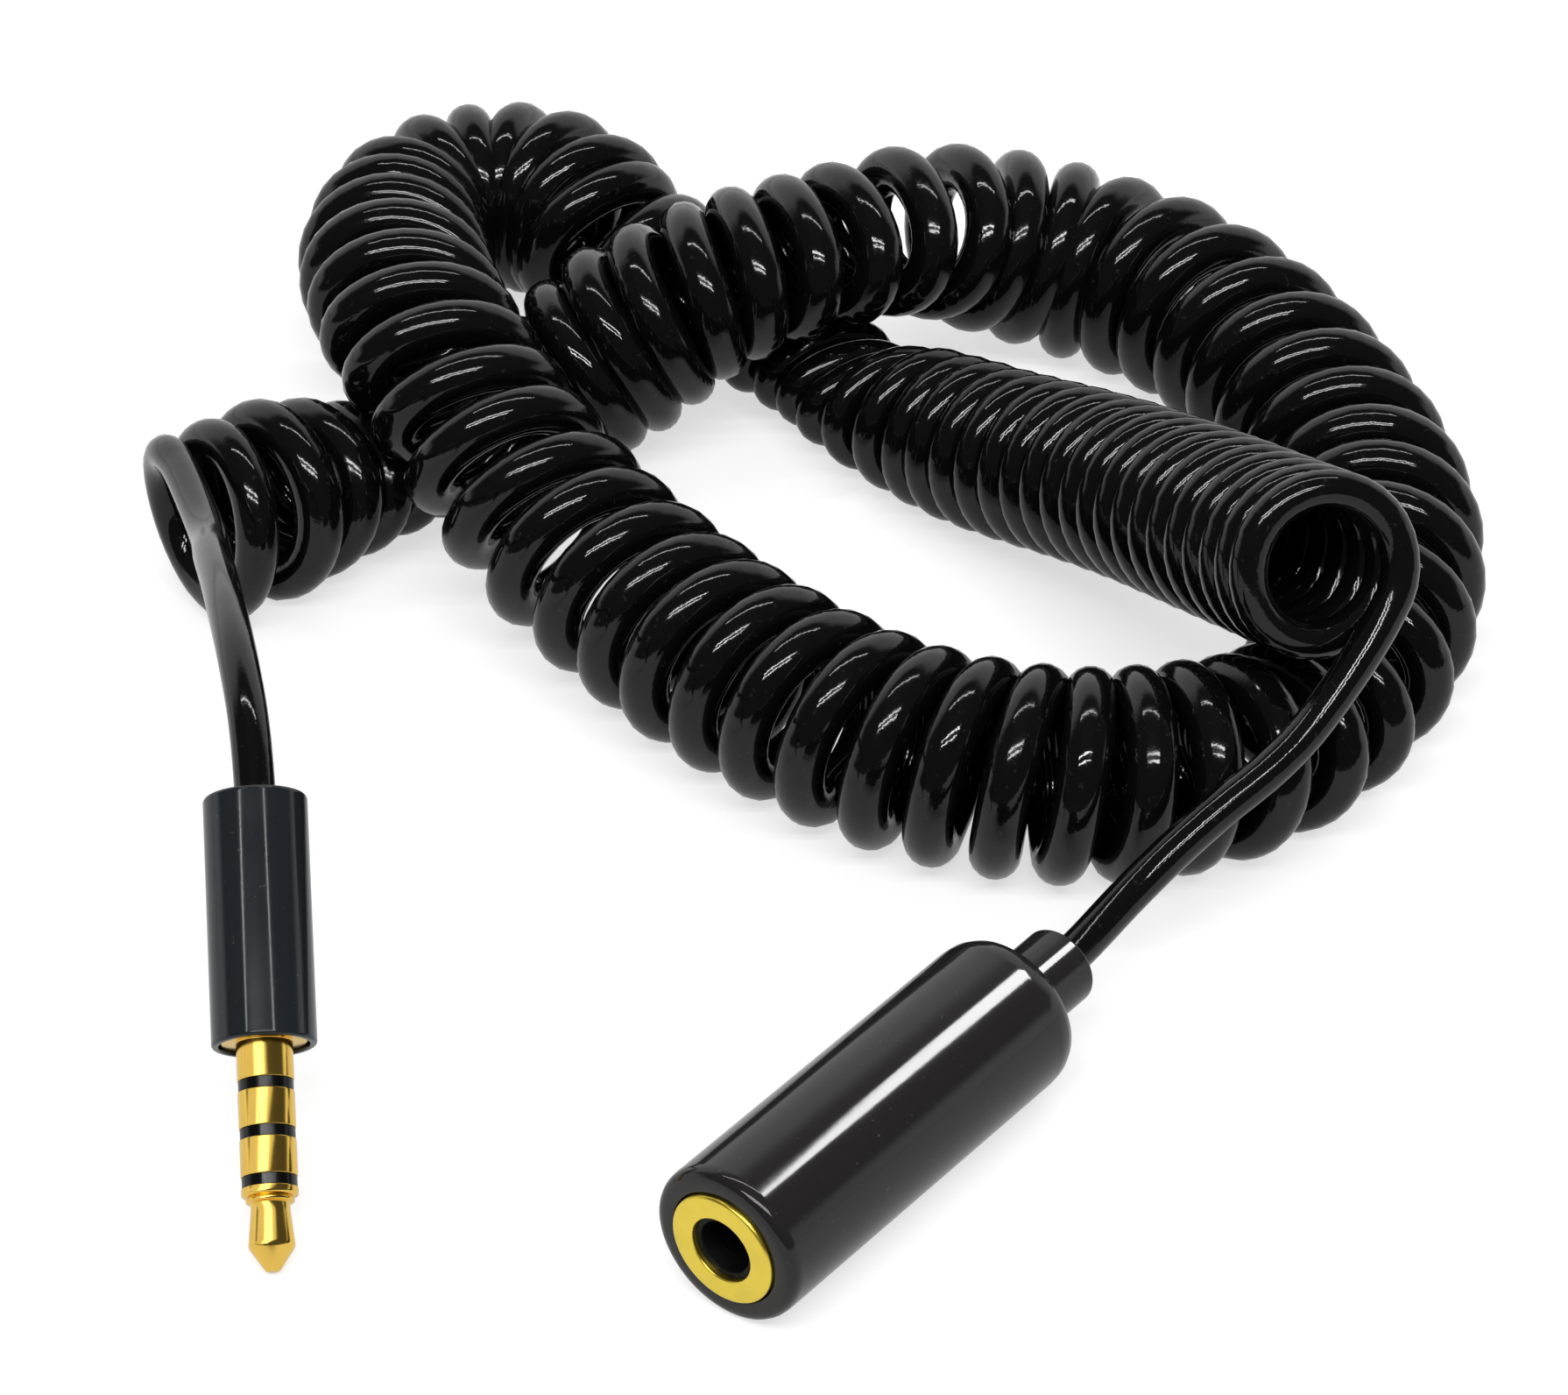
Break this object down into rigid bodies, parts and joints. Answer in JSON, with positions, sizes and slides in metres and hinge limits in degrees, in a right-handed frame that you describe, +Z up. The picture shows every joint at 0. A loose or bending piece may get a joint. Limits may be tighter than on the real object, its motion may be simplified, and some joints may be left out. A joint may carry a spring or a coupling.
{
  "type": "coiled audio extension cable",
  "caption": "Coiled black audio extension cable with a gold four-pole plug on one end and a gold-ringed in-line socket on the other, laid down in a loop.",
  "frame": {"origin": "middle of the bounding box in plan, on the table plane under the cable", "axes": "+Z up; -Y towards the plug's tip and the socket's mouth; +X to the right when seen from the plug's side"},
  "size_m": [0.093, 0.1248, 0.0266],
  "materials": {
    "cord": "glossy smooth jacket",
    "shell": "satin black",
    "insulator": "matt black",
    "gold": "gold plated, polished",
    "spring": "plain sheet",
    "wire_red": "insulated conductor",
    "wire_green": "insulated conductor",
    "wire_white": "insulated conductor",
    "wire_copper": "bare twisted screen"
  },
  "bodies": {
    "root": {"curly_cord": "cord", "plug_barrel": "shell", "plug_insulator_1": "insulator", "plug_insulator_2": "insulator", "plug_insulator_3": "insulator", "plug_lead": "cord", "plug_ring_1": "gold", "plug_ring_2": "gold", "plug_sleeve": "gold", "plug_tip": "gold", "plug_wire_copper": "wire_copper", "plug_wire_green": "wire_green", "plug_wire_red": "wire_red", "plug_wire_white": "wire_white", "socket_bush": "gold", "socket_housing": "shell", "socket_insulator": "insulator", "socket_lead": "cord", "socket_neck": "shell", "socket_spring_ring_1": "spring", "socket_spring_ring_2": "spring", "socket_spring_tip": "spring", "socket_wire_copper": "wire_copper", "socket_wire_green": "wire_green", "socket_wire_red": "wire_red", "socket_wire_white": "wire_white"}
  },
  "joints": []
}
